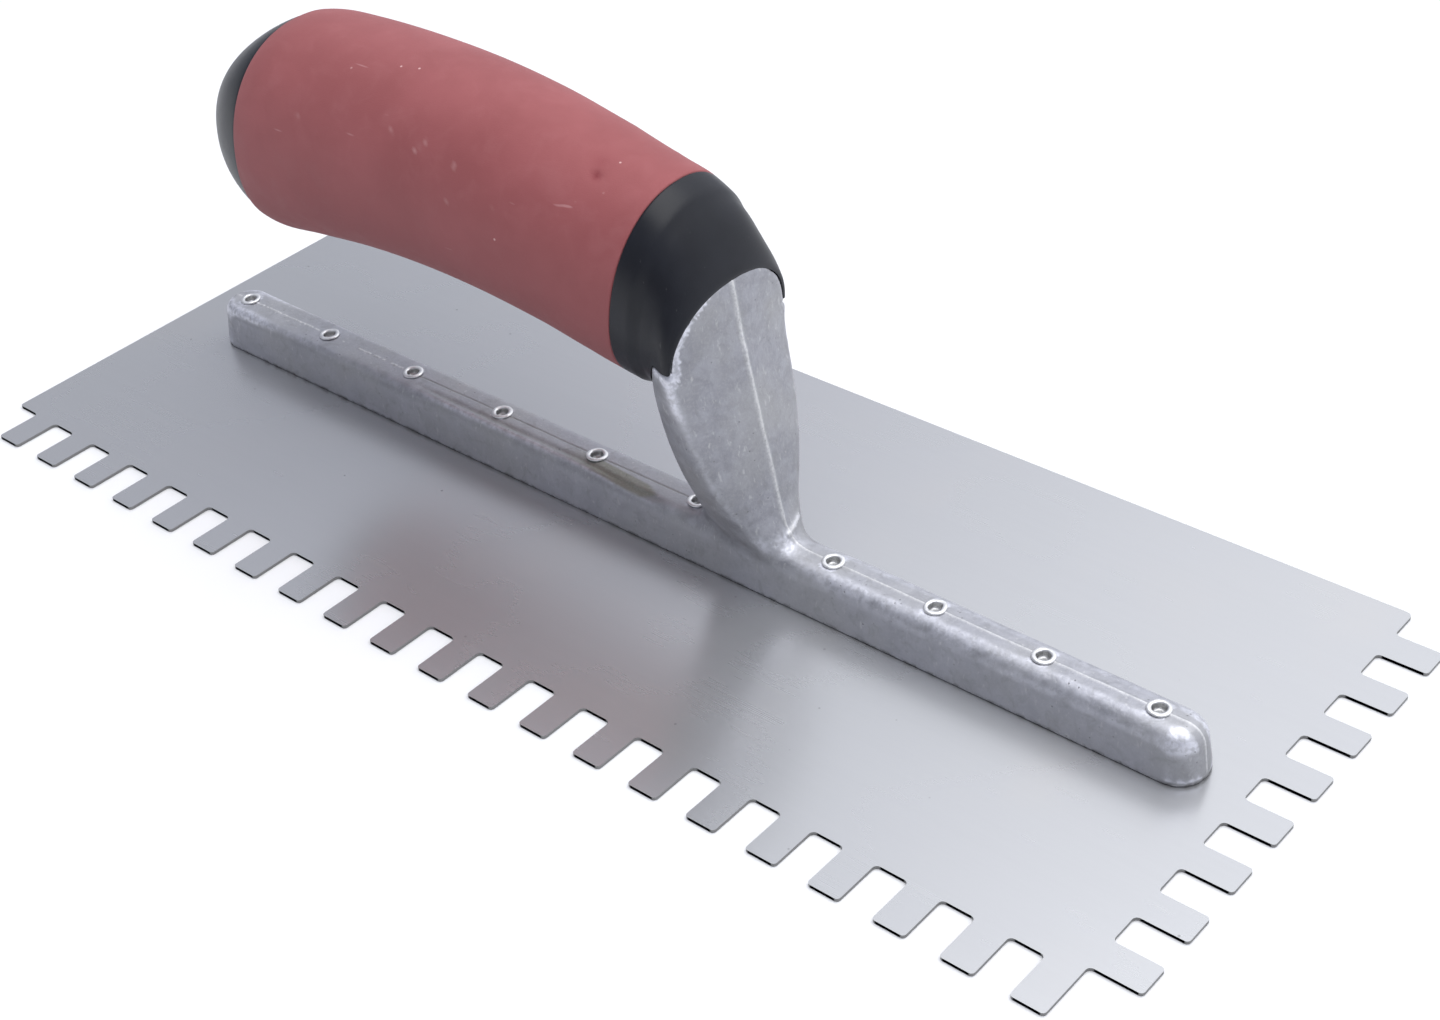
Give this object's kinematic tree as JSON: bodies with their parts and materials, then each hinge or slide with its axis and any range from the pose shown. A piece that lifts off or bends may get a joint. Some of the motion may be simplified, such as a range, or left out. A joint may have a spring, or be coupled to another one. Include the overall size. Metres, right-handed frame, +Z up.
{
  "type": "notched trowel",
  "caption": "Flat rectangular trowel with square notches along one long edge and one end, a riveted cast aluminium mounting and a curved soft-grip handle.",
  "frame": {"origin": "centre of the blade's outline, on the underside of the blade", "axes": "+X along the blade to the toe, whose short edge is notched; +Y to the plain long edge, away from the notched one; +Z up, from the blade to the handle"},
  "size_m": [0.2768, 0.1142, 0.087],
  "materials": {
    "blade_steel": "satin, finely ground along the length",
    "cast_aluminium": "as cast, matt, mottled, with a parting line",
    "rivet_steel": "bright zinc plated",
    "hard_black": "moulded, soft sheen",
    "soft_red": "matt soft overmoulding",
    "bolt_steel": "zinc plated"
  },
  "bodies": {
    "root": {"blade": "blade_steel", "mounting": "cast_aluminium", "rivet_01": "rivet_steel", "rivet_02": "rivet_steel", "rivet_03": "rivet_steel", "rivet_04": "rivet_steel", "rivet_05": "rivet_steel", "rivet_06": "rivet_steel", "rivet_07": "rivet_steel", "rivet_08": "rivet_steel", "rivet_09": "rivet_steel", "rivet_10": "rivet_steel", "handle_core": "hard_black", "front_collar": "hard_black", "grip_sleeve": "soft_red", "end_cap": "hard_black", "handle_bolt": "bolt_steel", "bolt_washer": "bolt_steel"}
  },
  "joints": []
}
